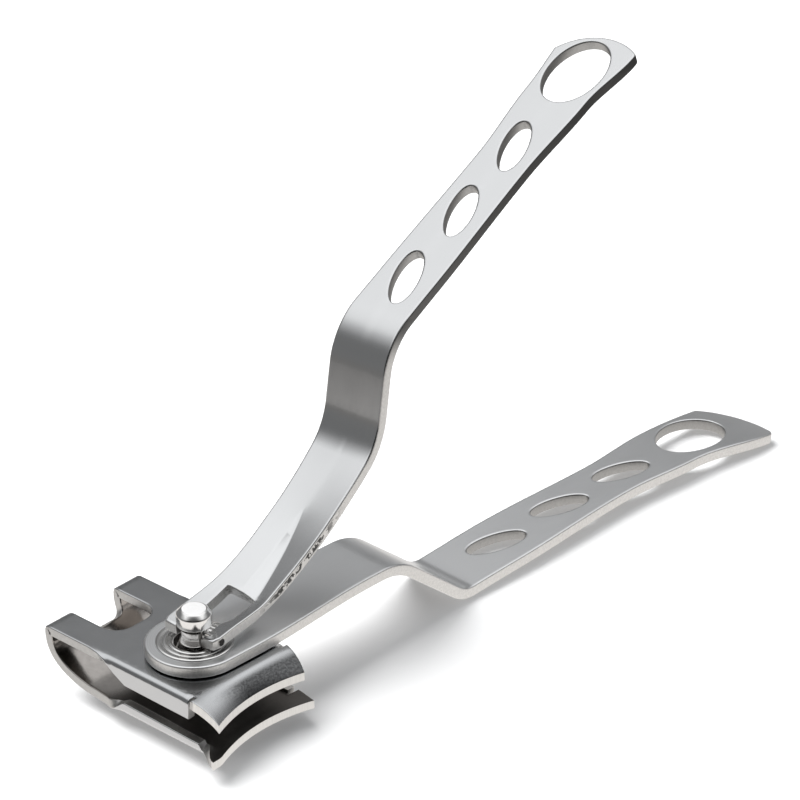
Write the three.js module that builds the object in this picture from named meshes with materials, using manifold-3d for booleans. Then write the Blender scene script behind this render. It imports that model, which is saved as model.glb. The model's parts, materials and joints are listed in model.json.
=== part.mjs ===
// Nail clipper with a head that swivels under a stamped handle and a forked lever.
// Millimetres, +Z up. The swivel axis is the Z axis, the foot of the post stands on z = 0,
// the lower handle runs along +X and the cutting edges face -Y.
import * as THREE from 'three';
import { mergeVertices } from 'three/addons/utils/BufferGeometryUtils.js';
import Module from 'manifold-3d';

const wasm = await Module();
wasm.setup();

// ---- driving dimensions ----
const SHEET = 1.6;             // thickness of both stamped handles
const EYE_TOP = 11.2;          // height of the eye's upper face
const EYE_R = 6.35;            // outer radius of the handle's eye
const EYE_HOLE_R = 3.7;        // hole in the eye, round the eyelet
const RUN_FIT = 0.08;          // clearance between parts that turn on each other

const HEAD_TURN = 3;           // degrees that the head is turned on its swivel
const HEAD_WIDTH = 17.2;       // jaws, over their sides
const HEAD_SHIFT = 0.35;       // the head's middle lies this far to +X of the swivel axis
const BOW_WIDTH = 16.4;
const UPPER_BLADE = [-8.0, 7.6];   // ends of the upper cutting edge, from the swivel axis
const LOWER_BLADE = [-9.7, 8.5];   // the lower edge is wider
const HEAD_SHEET = 1.3;        // thickness of the head's spring steel
const HEAD_TOP = 9.4;          // height of the upper jaw's flat face
const LOWER_TOP = 3.2;         // height of the lower jaw's inner face
const JAW_FRONT = -11.9;       // upper cutting edge, measured from the swivel axis
const LOWER_FRONT = -12.3;     // lower cutting edge
const JAW_BEND = -7.2;         // where the jaws start to bend towards each other
const UPPER_EDGE_Z = 6.45;     // height of the upper cutting edge
const LOWER_EDGE_Z = 3.4;      // height of the lower cutting edge with the jaws open
const EDGE_HOLLOW = 1.7;       // how far the cutting edges are hollowed at the middle
const BOW_START = 11.4;        // where the jaws run into the rear bow
const BOW_REAR = 19.0;         // rearmost point of the bow
const BOW_LOW = 2.25;          // height of the bow's underside where it meets the lower jaw
const BEVEL = 1.2;             // height of the honed face on each cutting edge
const JAW_GAP = 0.3;           // gap left between pieces of one folded sheet that move apart
const SLOT_WIDTH = 7.6;        // slot through the bow
const SLOT_END = 10.4;
const SLOT_LOW = 5.4;          // the slot runs down the bow to this height
const FLANGE = 1.2;            // thickness of the jaws' turned-down sides

const POST_R = 1.65;
const CAP_R = 2.3;
const CAP_TOP = 15.9;
const PIN_R = 0.55;
const PIN_Z = 12.6;

const LEVER_YAW = 6.6;         // degrees that the lever points away from the handle
const FORK_GAP = 4.0;          // space between the fork's arms beside the post

const OVAL_PITCH = 12.5;
const OVAL_A = 4.5;            // half length and half width of the slanted holes
const OVAL_B = 1.85;
const OVAL_SLANT = 16;
const BIG_A = 5.8;             // half length and half width of the hanging hole
const BIG_B = 4.1;
const BIG_STEP = 14.7;         // from the third oval to the hanging hole
const GRIP_FIRST = 57.4;       // from the swivel axis along the sheet to the first oval
const CORNER = 1.2;            // rounding of a grip's two end corners
const END_SPAN = 5;            // the ends' outlines are stepped finely over this length

const rad = THREE.MathUtils.degToRad;

const STEEL = { color: 0xc9cac8, roughness: 0.34, metalness: 1 };
const POLISHED = { color: 0xb4b4b3, roughness: 0.14, metalness: 1 };
const BRIGHT = { color: 0xdedede, roughness: 0.1, metalness: 1 };

// ---- solids ----

function solid(geometry) {
  const bare = geometry.clone();
  bare.deleteAttribute('normal');
  bare.deleteAttribute('uv');
  const merged = mergeVertices(bare, 1e-5);
  return new wasm.Manifold(new wasm.Mesh({
    numProp: 3,
    vertProperties: new Float32Array(merged.attributes.position.array),
    triVerts: new Uint32Array(merged.index.array),
  }));
}

function geometryOf(manifold) {
  const mesh = manifold.getMesh();
  const geometry = new THREE.BufferGeometry();
  geometry.setAttribute('position', new THREE.BufferAttribute(mesh.vertProperties, 3));
  geometry.setIndex(new THREE.BufferAttribute(mesh.triVerts, 1));
  geometry.computeVertexNormals();
  return geometry;
}

function part(name, manifold, finish) {
  const mesh = new THREE.Mesh(geometryOf(manifold), new THREE.MeshStandardMaterial(finish));
  mesh.name = name;
  return mesh;
}

// An upright cylinder from one height to another.
function drum(radius, low, high, x = 0, y = 0, sides = 64) {
  const geometry = new THREE.CylinderGeometry(radius, radius, high - low, sides);
  return solid(geometry.rotateX(Math.PI / 2).translate(x, y, (low + high) / 2));
}

// An outline in the Y-Z plane, extruded along X and centred on it.
function sideProfile(shape, width) {
  const geometry = new THREE.ExtrudeGeometry(shape, { depth: width, bevelEnabled: false, curveSegments: 18 });
  geometry.translate(0, 0, -width / 2);
  geometry.applyMatrix4(new THREE.Matrix4().makeBasis(
    new THREE.Vector3(0, 1, 0), new THREE.Vector3(0, 0, 1), new THREE.Vector3(1, 0, 0)));
  return solid(geometry);
}

// ---- stamped sheet: a centre line of arcs, with a width at each distance along it ----

// Returns a function that gives place and heading at a distance from the start of the runs.
function sheetLine(x, z, heading, runs) {
  const legs = [];
  for (const [length, turn] of runs) {
    legs.push({ x, z, heading, length, turn: rad(turn) });
    const end = alongLeg(legs.at(-1), length);
    [x, z, heading] = [end.x, end.z, end.heading];
  }
  return (distance) => {
    let rest = distance;
    for (const leg of legs.slice(0, -1)) {
      if (rest <= leg.length) return alongLeg(leg, rest);
      rest -= leg.length;
    }
    return alongLeg(legs.at(-1), rest);
  };
}

function alongLeg(leg, distance) {
  const bend = leg.turn / leg.length;
  const heading = leg.heading + bend * distance;
  if (Math.abs(bend) < 1e-9) {
    return { x: leg.x + distance * Math.cos(heading), z: leg.z + distance * Math.sin(heading), heading };
  }
  return {
    x: leg.x + (Math.sin(heading) - Math.sin(leg.heading)) / bend,
    z: leg.z - (Math.cos(heading) - Math.cos(leg.heading)) / bend,
    heading,
  };
}

// Half widths to -Y and to +Y, eased from each station [distance, near, far] to the next.
function sideTable(stations) {
  return (distance) => {
    if (distance <= stations[0][0]) return stations[0].slice(1);
    for (let i = 1; i < stations.length; i++) {
      const [from, ...start] = stations[i - 1];
      const [to, ...end] = stations[i];
      const share = THREE.MathUtils.smoothstep(distance, from, to);
      if (distance <= to) return start.map((half, side) => half + (end[side] - half) * share);
    }
    return stations.at(-1).slice(1);
  };
}

// A closed strip of sheet whose upper face follows the line.
function strip(line, halfWidths, stations) {
  const positions = [];
  const index = [];
  for (const s of stations) {
    const p = line(s);
    const [nx, nz] = [-Math.sin(p.heading), Math.cos(p.heading)];
    const [near, far] = halfWidths(s);
    for (const [y, depth] of [[-near, 0], [far, 0], [far, SHEET], [-near, SHEET]]) {
      positions.push(p.x - nx * depth, y, p.z - nz * depth);
    }
  }
  for (let i = 0; i + 1 < stations.length; i++) {
    for (let k = 0; k < 4; k++) {
      const a = 4 * i + k;
      const b = 4 * i + (k + 1) % 4;
      index.push(a, a + 4, b, b, a + 4, b + 4);
    }
  }
  const last = 4 * (stations.length - 1);
  index.push(0, 1, 2, 0, 2, 3, last, last + 2, last + 1, last, last + 3, last + 2);
  const geometry = new THREE.BufferGeometry();
  geometry.setAttribute('position', new THREE.Float32BufferAttribute(positions, 3));
  geometry.setIndex(index);
  return solid(geometry);
}

// An elliptical cutter square to the sheet at a distance along its line.
function holeCutter(line, distance, a, b, slant) {
  const ellipse = new THREE.Shape().absellipse(0, 0, a, b, 0, 2 * Math.PI, false, rad(slant));
  const depth = 6 * SHEET;
  const geometry = new THREE.ExtrudeGeometry(ellipse, { depth, bevelEnabled: false, curveSegments: 40 });
  const p = line(distance);
  geometry.translate(0, 0, -depth / 2 - SHEET / 2);
  geometry.rotateY(-p.heading).translate(p.x, 0, p.z);
  return solid(geometry);
}

// Half widths near a grip's end: an arc whose middle lies off to -Y, with two rounded corners.
function gripEnd(halves, distance, tip) {
  const reach = tip.end - distance;
  if (reach >= tip.radius) return halves;
  const chord = Math.sqrt(Math.max(tip.radius ** 2 - (tip.radius - reach) ** 2, 1e-4));
  return halves.map((half, side) => {
    const middle = side === 0 ? tip.offset : -tip.offset;
    const flat = half - CORNER;
    const left = reach - (flat - middle) ** 2 / (2 * tip.radius);
    const turn = Math.min(Math.max(1 - left / CORNER, 0), 1);
    return Math.min(flat + CORNER * Math.sqrt(1 - turn * turn), middle + chord);
  });
}

function cutGripHoles(body, line, first, slant) {
  let out = body;
  for (let i = 0; i < 3; i++) {
    out = out.subtract(holeCutter(line, first + i * OVAL_PITCH, OVAL_A, OVAL_B, slant));
  }
  return out.subtract(holeCutter(line, first + 2 * OVAL_PITCH + BIG_STEP, BIG_A, BIG_B, 0));
}

function range(from, to, count) {
  return Array.from({ length: count + 1 }, (_, i) => from + (to - from) * i / count);
}

// Stations that close up towards a rounded end, so its outline stays round.
function roundEnd(from, to, count) {
  return range(0, 1, count).map((t) => from + (to - from) * Math.sin(t * Math.PI / 2));
}

function endStations(end) {
  return roundEnd(end - END_SPAN, end, 26).slice(1);
}

// ---- lower handle ----

const HANDLE_END = GRIP_FIRST + 2 * OVAL_PITCH + BIG_STEP + 10.6;
const HANDLE_TIP = { end: HANDLE_END, radius: 12.5, offset: 4 };

// Distances along the handle are measured from the swivel axis.
function handleLine() {
  const line = sheetLine(-EYE_R, EYE_TOP, 0, [
    [EYE_R + 28.3, 0],
    [6.2, -39.3],
    [10.4, 0],
    [3.15, 43.1],
    [HANDLE_END - 62, -4.5],
    [14, -9.2],
  ]);
  return (distance) => line(distance + EYE_R);
}

const handleSides = sideTable([
  [4, 6.35, 6.35], [27, 4.95, 4.95], [47, 5.05, 5.05], [58, 5.15, 5.15], [80, 4.4, 4.4], [92, 5.2, 5.2],
  [105, 6.9, 5.0],
]);

function lowerHandle() {
  const line = handleLine();
  const halves = (s) => {
    if (s >= 0) return gripEnd(handleSides(s), s, HANDLE_TIP);
    const half = Math.sqrt(Math.max(EYE_R * EYE_R - s * s, 0.01));
    return [half, half];
  };
  const stations = [
    ...roundEnd(0, -EYE_R, 14).reverse(),
    ...range(1.5, 27.5, 17), ...range(28.3, 34.5, 9), ...range(37, 43, 3), ...range(44.9, 48, 6),
    ...range(50, HANDLE_END - END_SPAN, 40), ...endStations(HANDLE_END),
  ];
  const bored = strip(line, halves, stations).subtract(drum(EYE_HOLE_R, EYE_TOP - 3, EYE_TOP + 3));
  return cutGripHoles(bored, line, GRIP_FIRST, -OVAL_SLANT);
}

// ---- top lever, in a frame that turns about the swivel axis ----

const LEVER_START = -1.25;
const LEVER_FIRST = 57.1;
const LEVER_END = LEVER_FIRST + 2 * OVAL_PITCH + BIG_STEP + 7.0;
const LEVER_TIP = { end: LEVER_END, radius: 8, offset: 1.6 };
const LEVER_TOP = 13.4;        // height of the lever's upper face over the swivel axis
const WINDOW_END = 8.2;        // the fork's space ends here, in front of the pressed crease
const WINDOW_NEAR = -2.7;      // sides of the wider, shifted window behind the post
const WINDOW_FAR = 1.45;

function leverLine() {
  const line = sheetLine(-1.24, LEVER_TOP - 0.14, rad(5.5), [
    [32.2, 33],
    [6.05, 41.5],
    [5.3, 0],
    [9.25, -56.5],
    [LEVER_END - 51.6, 0],
  ]);
  return (distance) => line(distance - LEVER_START);
}

const leverSides = sideTable([
  [0, 4.45, 4.25], [10, 4.6, 3.6], [22, 5.0, 4.0], [36, 4.65, 4.3], [57, 4.5, 4.2], [79, 4.1, 4.0],
  [92, 4.7, 4.8], [102, 6.1, 5.5],
]);

function topLever() {
  const line = leverLine();
  const halves = (s) => {
    const nose = s < 0 ? 1 - 0.06 * s * s : 1;
    return gripEnd(leverSides(s), s, LEVER_TIP).map((half) => half * nose);
  };
  const stations = [
    ...range(LEVER_START, 31, 28), ...range(31.9, 37, 8), ...range(38.6, 42.3, 3), ...range(43.3, 51.6, 10),
    ...range(53.5, LEVER_END - END_SPAN, 34), ...endStations(LEVER_END),
  ];
  const bore = solid(new THREE.CylinderGeometry(PIN_R, PIN_R, 20, 32).translate(0, 0, PIN_Z));
  const blank = strip(line, halves, stations).subtract(windowCutter()).subtract(bore);
  return cutGripHoles(blank, line, LEVER_FIRST, OVAL_SLANT);
}

// The space of the fork, which runs into the window behind the post.
function windowCutter() {
  const half = FORK_GAP / 2;
  const shape = new THREE.Shape();
  shape.moveTo(LEVER_START - 4, -half);
  shape.lineTo(2.4, -half);
  shape.bezierCurveTo(3.2, -half, 3.2, WINDOW_NEAR, 4, WINDOW_NEAR);
  shape.lineTo(WINDOW_END, WINDOW_NEAR);
  shape.lineTo(WINDOW_END, WINDOW_FAR);
  shape.lineTo(4, WINDOW_FAR);
  shape.bezierCurveTo(3.2, WINDOW_FAR, 3.2, half, 2.4, half);
  shape.lineTo(LEVER_START - 4, half);
  shape.closePath();
  const geometry = new THREE.ExtrudeGeometry(shape, { depth: 8, bevelEnabled: false, curveSegments: 6 });
  return solid(geometry.translate(0, 0, PIN_Z - 3));
}

function crossPin() {
  const [near, far] = leverSides(0);
  const geometry = new THREE.CylinderGeometry(PIN_R - 0.02, PIN_R - 0.02, near + far - 0.1, 32);
  return solid(geometry.translate(0, (far - near) / 2, PIN_Z));
}

// ---- post and eyelet ----

function swivelPost() {
  const foot = 1.3;
  const profile = [
    [0, 0], [2.6, 0], [2.9, 0.3], [2.9, foot], [POST_R, foot], [POST_R, 13.3],
    [CAP_R, 13.9], [CAP_R, 15.3], [CAP_R - 0.55, CAP_TOP - 0.12], [CAP_R - 1, CAP_TOP], [0, CAP_TOP],
  ].map(([r, z]) => new THREE.Vector2(r, z));
  const turned = solid(new THREE.LatheGeometry(profile, 56).rotateX(Math.PI / 2));
  const across = solid(new THREE.CylinderGeometry(PIN_R, PIN_R, 3 * POST_R, 32).translate(0, 0, PIN_Z));
  return turned.subtract(across);
}

function swivelEyelet() {
  const inner = 2.65;
  const outer = EYE_HOLE_R - RUN_FIT;
  const top = EYE_TOP + 0.2;
  const under = HEAD_TOP - HEAD_SHEET;
  const profile = [
    [inner, under - 0.35], [4.4, under - 0.35], [4.4, under - 0.02], [outer, under - 0.02],
    [outer, EYE_TOP + 0.06], [4.95, EYE_TOP + 0.06], [4.75, top - 0.06], [3.6, top], [inner, top - 0.1],
    [inner, under - 0.35],
  ].map(([r, z]) => new THREE.Vector2(r, z));
  return solid(new THREE.LatheGeometry(profile, 64).rotateX(Math.PI / 2));
}

// ---- head ----

// A prism with a jaw's plan outline: straight sides, then a taper to a hollow cutting edge.
function jawPlan(blade, front) {
  const [left, right] = [HEAD_SHIFT - HEAD_WIDTH / 2, HEAD_SHIFT + HEAD_WIDTH / 2];
  const shape = new THREE.Shape();
  shape.moveTo(left, BOW_START);
  shape.lineTo(left, JAW_BEND);
  shape.lineTo(blade[0], front);
  shape.quadraticCurveTo((blade[0] + blade[1]) / 2, front + 2 * EDGE_HOLLOW, blade[1], front);
  shape.lineTo(right, JAW_BEND);
  shape.lineTo(right, BOW_START);
  shape.closePath();
  return solid(new THREE.ExtrudeGeometry(shape, { depth: 20, bevelEnabled: false, curveSegments: 28 }));
}

// Both turned sides of a jaw, from one outline.
function flanges(outline) {
  const shape = new THREE.Shape(outline.map(([y, z]) => new THREE.Vector2(y, z)));
  const [left, right] = [-1, 1].map((side) => sideProfile(shape, FLANGE)
    .translate([HEAD_SHIFT + side * (HEAD_WIDTH - FLANGE) / 2, 0, 0]));
  return left.add(right);
}

function upperJaw() {
  const inner = HEAD_TOP - HEAD_SHEET;
  const shape = new THREE.Shape();
  shape.moveTo(BOW_START, HEAD_TOP);
  shape.lineTo(JAW_BEND, HEAD_TOP);
  shape.quadraticCurveTo(JAW_BEND - 2.6, HEAD_TOP - 0.1, JAW_FRONT, UPPER_EDGE_Z + BEVEL);
  shape.lineTo(JAW_FRONT, UPPER_EDGE_Z);
  shape.lineTo(JAW_FRONT + 2 * EDGE_HOLLOW, UPPER_EDGE_Z + 0.1);
  shape.quadraticCurveTo(JAW_BEND, inner, JAW_BEND + 2.4, inner);
  shape.lineTo(BOW_START, inner);
  shape.closePath();
  const side = [[6.6, HEAD_TOP - 0.4], [6.4, 7.6], [4.4, 6.55], [-6.8, 6.45], [-7, HEAD_TOP - 0.4]];
  const plate = sideProfile(shape, 3 * HEAD_WIDTH).intersect(jawPlan(UPPER_BLADE, JAW_FRONT));
  const hole = drum(EYE_HOLE_R - RUN_FIT + 0.03, 5, 12);
  return plate.add(flanges(side)).subtract(hole).subtract(slotCutter());
}

function lowerJaw() {
  const outer = LOWER_TOP - HEAD_SHEET;
  const rear = BOW_START - JAW_GAP;
  const shape = new THREE.Shape();
  shape.moveTo(rear, BOW_LOW + HEAD_SHEET);
  shape.lineTo(5, LOWER_TOP);
  shape.lineTo(JAW_BEND, LOWER_TOP);
  shape.quadraticCurveTo(JAW_BEND - 1, LOWER_TOP, LOWER_FRONT + 2 * EDGE_HOLLOW, LOWER_EDGE_Z);
  shape.lineTo(LOWER_FRONT, LOWER_EDGE_Z);
  shape.lineTo(LOWER_FRONT, LOWER_EDGE_Z - BEVEL);
  shape.quadraticCurveTo(JAW_BEND - 2, outer, JAW_BEND, outer);
  shape.lineTo(5, outer);
  shape.lineTo(rear, BOW_LOW);
  shape.closePath();
  const side = [[5, outer + 0.1], [5, LOWER_TOP + 0.7], [-8.2, LOWER_TOP + 0.4], [-8.6, outer + 0.1]];
  const plate = sideProfile(shape, 3 * HEAD_WIDTH).intersect(jawPlan(LOWER_BLADE, LOWER_FRONT));
  const hole = drum(POST_R + 0.55, 0, 5);
  return plate.add(flanges(side)).subtract(hole);
}

// The bow's outline in the Y-Z plane, set in from its outer face.
function bowOutline(inset) {
  const p = (y, z) => new THREE.Vector2(y, z);
  const top = HEAD_TOP - inset;
  const rear = BOW_REAR - inset;
  const low = BOW_LOW + inset;
  const corner = new THREE.CubicBezierCurve(
    p(18.2 - 0.9 * inset, top), p(18.8 - inset, top), p(rear, 9.1 - inset), p(rear, 8.5 - 0.9 * inset));
  const sweep = new THREE.CubicBezierCurve(
    corner.v3, p(rear, 4.6), p(15.8 - 0.3 * inset, low + 0.7), p(BOW_START, low));
  return [p(BOW_START, top), ...corner.getPoints(12), ...sweep.getPoints(24).slice(1)];
}

function rearBow() {
  const shape = new THREE.Shape([...bowOutline(0), ...bowOutline(HEAD_SHEET).reverse()]);
  return sideProfile(shape, BOW_WIDTH).translate([HEAD_SHIFT, 0, 0]).subtract(slotCutter());
}

// A round-ended slot through the bow and into the upper jaw.
function slotCutter() {
  const half = SLOT_WIDTH / 2;
  const corner = 2.6;
  const shape = new THREE.Shape();
  shape.moveTo(-half, 30);
  shape.lineTo(-half, SLOT_END + corner);
  shape.quadraticCurveTo(-half, SLOT_END, -half + corner, SLOT_END);
  shape.lineTo(half - corner, SLOT_END);
  shape.quadraticCurveTo(half, SLOT_END, half, SLOT_END + corner);
  shape.lineTo(half, 30);
  shape.closePath();
  const geometry = new THREE.ExtrudeGeometry(shape, { depth: 8, bevelEnabled: false, curveSegments: 12 });
  return solid(geometry.translate(0, 0, SLOT_LOW));
}

// ---- assembly ----

const clipper = new THREE.Group();
clipper.add(part('lower_handle', lowerHandle(), STEEL));

const post = new THREE.Group();
post.rotation.z = rad(LEVER_YAW);
post.add(part('swivel_post', swivelPost(), BRIGHT));
post.add(part('cross_pin', crossPin(), BRIGHT));
post.add(part('top_lever', topLever(), STEEL));
clipper.add(post);

const head = new THREE.Group();
head.rotation.z = rad(HEAD_TURN);
head.add(part('swivel_eyelet', swivelEyelet(), STEEL));
head.add(part('upper_jaw', upperJaw(), POLISHED));
head.add(part('rear_bow', rearBow(), POLISHED));
head.add(part('lower_jaw', lowerJaw(), POLISHED));
clipper.add(head);

export default clipper;
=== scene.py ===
import json
import math

import bmesh
import bpy
import numpy as np
from mathutils import Matrix, Vector
from mathutils.geometry import delaunay_2d_cdt

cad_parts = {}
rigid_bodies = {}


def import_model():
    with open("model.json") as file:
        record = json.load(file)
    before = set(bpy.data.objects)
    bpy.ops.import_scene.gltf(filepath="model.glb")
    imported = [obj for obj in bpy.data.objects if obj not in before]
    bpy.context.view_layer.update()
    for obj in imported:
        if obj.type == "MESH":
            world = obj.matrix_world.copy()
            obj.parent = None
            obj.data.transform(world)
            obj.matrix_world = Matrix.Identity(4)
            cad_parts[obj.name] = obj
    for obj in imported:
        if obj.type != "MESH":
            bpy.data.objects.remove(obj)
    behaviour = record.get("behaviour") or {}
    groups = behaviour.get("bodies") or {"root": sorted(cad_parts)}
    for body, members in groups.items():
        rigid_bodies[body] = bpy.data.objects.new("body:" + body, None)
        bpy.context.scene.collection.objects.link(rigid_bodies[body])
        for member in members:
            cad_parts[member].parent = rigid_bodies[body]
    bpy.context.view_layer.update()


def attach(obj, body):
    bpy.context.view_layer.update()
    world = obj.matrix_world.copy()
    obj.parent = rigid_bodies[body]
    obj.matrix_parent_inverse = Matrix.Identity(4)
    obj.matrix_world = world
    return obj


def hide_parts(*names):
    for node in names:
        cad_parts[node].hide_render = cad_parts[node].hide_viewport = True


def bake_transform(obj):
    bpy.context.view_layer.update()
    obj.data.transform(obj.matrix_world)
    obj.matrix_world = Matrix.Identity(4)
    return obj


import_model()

MM = 0.001

# ---- dimensions, in millimetres: most of them repeat the CAD model ----

SHEET = 1.6
EYE_TOP = 11.2
EYE_R = 6.35
EYE_HOLE_R = 3.7
GRIP_FIRST = 57.4
LEVER_FIRST = 57.1
OVAL_PITCH = 12.5
OVAL = (4.5, 1.85)
OVAL_SLANT = math.radians(16)
BIG = (5.8, 4.1)
BIG_STEP = 14.7
HANDLE_END = GRIP_FIRST + 2 * OVAL_PITCH + BIG_STEP + 10.6
LEVER_END = LEVER_FIRST + 2 * OVAL_PITCH + BIG_STEP + 7.0
LEVER_START = -1.25
LEVER_YAW = math.radians(6.6)
LEVER_TOP = 13.4
CORNER = 1.2
END_SPAN = 5.0
PIN_Z = 12.6
EDGE_ROUND = 0.24
RIM = 0.16                     # flat band kept inside each rounded edge
UNDER_SINK = 0.45              # how far the pressed facet may lower the lever's underside

HEAD_TURN = math.radians(3)
HEAD_SHIFT = 0.35
HEAD_SHEET = 1.3
HEAD_HALF = 8.6
BLADE_HOLLOW = 1.7             # how far the cutting edges are drawn back at the middle


# ---- bent sheet: a line of arcs gives place and heading at each distance ----

def along(leg, distance):
    x, z, heading, length, turn = leg
    bend = turn / length
    angle = heading + bend * distance
    if abs(bend) < 1e-9:
        return x + distance * math.cos(angle), z + distance * math.sin(angle), angle
    return (x + (math.sin(angle) - math.sin(heading)) / bend,
            z - (math.cos(angle) - math.cos(heading)) / bend, angle)


def sheet_line(x, z, heading, runs):
    legs = []
    for length, turn in runs:
        legs.append((x, z, heading, length, math.radians(turn)))
        x, z, heading = along(legs[-1], length)

    def at(distance):
        for leg in legs[:-1]:
            if distance <= leg[3]:
                return along(leg, distance)
            distance -= leg[3]
        return along(legs[-1], distance)
    return at


def stations(runs, start, coarse=1.25, turn=1.6):
    """Distances along the runs, closer together where the sheet bends."""
    found = [start]
    for length, degrees in runs:
        steps = max(1, math.ceil(length / coarse), math.ceil(abs(degrees) / turn))
        found += [found[-1] + length * (i + 1) / steps for i in range(steps)]
    return found


def smooth(t):
    t = min(max(t, 0.0), 1.0)
    return t * t * (3 - 2 * t)


def table(rows):
    """Values eased from each row (distance, value, ...) to the next."""
    def at(distance):
        if distance <= rows[0][0]:
            return rows[0][1:]
        for low, high in zip(rows, rows[1:]):
            if distance <= high[0]:
                share = smooth((distance - low[0]) / (high[0] - low[0]))
                return tuple(a + (b - a) * share for a, b in zip(low[1:], high[1:]))
        return rows[-1][1:]
    return at


def grip_end(halves, distance, end, radius, offset):
    """Half widths near a grip's end: an arc whose middle lies off to -Y, with two rounded corners."""
    reach = end - distance
    if reach >= radius:
        return halves
    chord = math.sqrt(max(radius ** 2 - (radius - reach) ** 2, 1e-4))
    found = []
    for half, middle in zip(halves, (offset, -offset)):
        flat = half - CORNER
        left = reach - (flat - middle) ** 2 / (2 * radius)
        turn = min(max(1 - left / CORNER, 0), 1)
        found.append(min(flat + CORNER * math.sqrt(1 - turn * turn), middle + chord))
    return found


def ellipse(centre, a, b, slant, count):
    """A hole's outline, clockwise."""
    points = []
    for i in range(count):
        angle = -2 * math.pi * i / count
        x, y = a * math.cos(angle), b * math.sin(angle)
        points.append((centre + x * math.cos(slant) - y * math.sin(slant),
                       x * math.sin(slant) + y * math.cos(slant)))
    return points


# ---- a sheet mesh from its flat outline ----

def inward(loop):
    """Mitred normals that point into the material, which lies left of the loop."""
    points = np.array(loop)
    before = points - np.roll(points, 1, 0)
    after = np.roll(points, -1, 0) - points
    sides = []
    for d in (before, after):
        n = np.stack([-d[:, 1], d[:, 0]], 1)
        sides.append(n / np.linalg.norm(n, axis=1, keepdims=True))
    middle = sides[0] + sides[1]
    middle /= np.linalg.norm(middle, axis=1, keepdims=True)
    return middle / np.clip((middle * sides[0]).sum(1), 0.55, 1)[:, None]


def inside(points, loops):
    points = np.array(points)
    x, y = points[:, 0], points[:, 1]
    count = np.zeros(len(points), int)
    for loop in loops:
        for (x0, y0), (x1, y1) in zip(loop, np.roll(loop, -1, 0)):
            crosses = (y0 > y) != (y1 > y)
            at = x0 + (y - y0) * (x1 - x0) / ((y1 - y0) or 1e-12)
            count += crosses & (x < at)
    return count % 2 == 1


def clear_of(points, loops, margin):
    points = np.array(points)
    rims = np.concatenate([np.array(loop) for loop in loops])
    keep = np.ones(len(points), bool)
    for start in range(0, len(points), 500):
        part = points[start:start + 500]
        gap = np.linalg.norm(part[:, None] - rims[None], axis=2).min(1)
        keep[start:start + 500] = gap > margin
    return points[keep]


def sheet_mesh(name, loops, grid, place, thickness, rounding, edge_slot, margin=0.3, steps=4, creases=()):
    """A closed sheet with rounded edges. loops are flat outlines with the material on their left,
    place(s, y, depth) bends a flat point into its place, rounding(s, y) is the edge radius, and
    mesh edges follow the crease lines."""
    normals = [inward(loop) for loop in loops]
    radii = [np.array([rounding(s, y) for s, y in loop]) for loop in loops]
    rims = [np.array(loop) + n * (r[:, None] + RIM) for loop, n, r in zip(loops, normals, radii)]
    grid = np.array(grid)
    grid = clear_of(grid[inside(grid, rims)], rims, margin)
    if creases:
        grid = clear_of(grid, creases, 0.4)
    flat = [tuple(p) for rim in rims for p in rim]
    links, first = [], 0
    for rim in rims:
        links += [(first + i, first + (i + 1) % len(rim)) for i in range(len(rim))]
        first += len(rim)
    for line in creases:
        links += [(len(flat) + i, len(flat) + i + 1) for i in range(len(line) - 1)]
        flat += line
    flat += [tuple(p) for p in grid]
    out, _, faces, origins, _, _ = delaunay_2d_cdt([Vector(p) for p in flat], links, [], 0, 1e-7)
    number = {}
    for i, found in enumerate(origins):
        for o in found:
            number[o] = i
    triangles = [f for f in faces if len(f) == 3]
    middles = [(out[a] + out[b] + out[c]) / 3 for a, b, c in triangles]
    keep = inside([tuple(m) for m in middles], rims)
    triangles = [f for f, k in zip(triangles, keep) if k]

    verts, coords, polygons, slots = [], [], [], []

    def add(s, y, depth):
        verts.append(place(s, y, depth))
        coords.append((s, y, depth))
        return len(verts) - 1

    top = [add(p.x, p.y, 0.0) for p in out]
    bottom = [add(p.x, p.y, thickness) for p in out]
    for a, b, c in triangles:
        u, v = out[b] - out[a], out[c] - out[a]
        if u.x * v.y - u.y * v.x < 0:
            b, c = c, b
        polygons += [(top[a], top[b], top[c]), (bottom[a], bottom[c], bottom[b])]
        slots += [0, 1]
    first = 0
    for loop, n, r in zip(loops, normals, radii):
        count = len(loop)
        rings = [[top[number[first + i]] for i in range(count)]]
        for k in list(range(steps, -1, -1)) + list(range(steps + 1)):
            low = len(rings) > steps + 1
            angle = k * math.pi / 2 / steps
            inset, depth = r * (1 - math.cos(angle)), r * (1 - math.sin(angle))
            depth = thickness - depth if low else depth
            rings.append([add(*(np.array(loop[i]) + n[i] * inset[i]), depth[i]) for i in range(count)])
        rings.append([bottom[number[first + i]] for i in range(count)])
        for k, (upper, lower) in enumerate(zip(rings, rings[1:])):
            for i in range(count):
                j = (i + 1) % count
                polygons.append((upper[i], lower[i], lower[j], upper[j]))
                face = 0 if k < 3 else 1 if k > 2 * steps - 1 else edge_slot(*loop[i])
                slots.append(face)
        first += count
    return mesh_object(name, verts, polygons, slots, coords)


def mesh_object(name, verts, polygons, slots, coords):
    mesh = bpy.data.meshes.new(name)
    mesh.from_pydata([Vector(v) * MM for v in verts], [], polygons)
    mesh.polygons.foreach_set("material_index", slots)
    mesh.polygons.foreach_set("use_smooth", [True] * len(polygons))
    flat = mesh.attributes.new("flat", "FLOAT_VECTOR", "POINT")
    flat.data.foreach_set("vector", np.array(coords, np.float32).ravel())
    piece = bpy.data.objects.new(name, mesh)
    bpy.context.scene.collection.objects.link(piece)
    drop_loose(mesh)
    return piece


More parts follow.
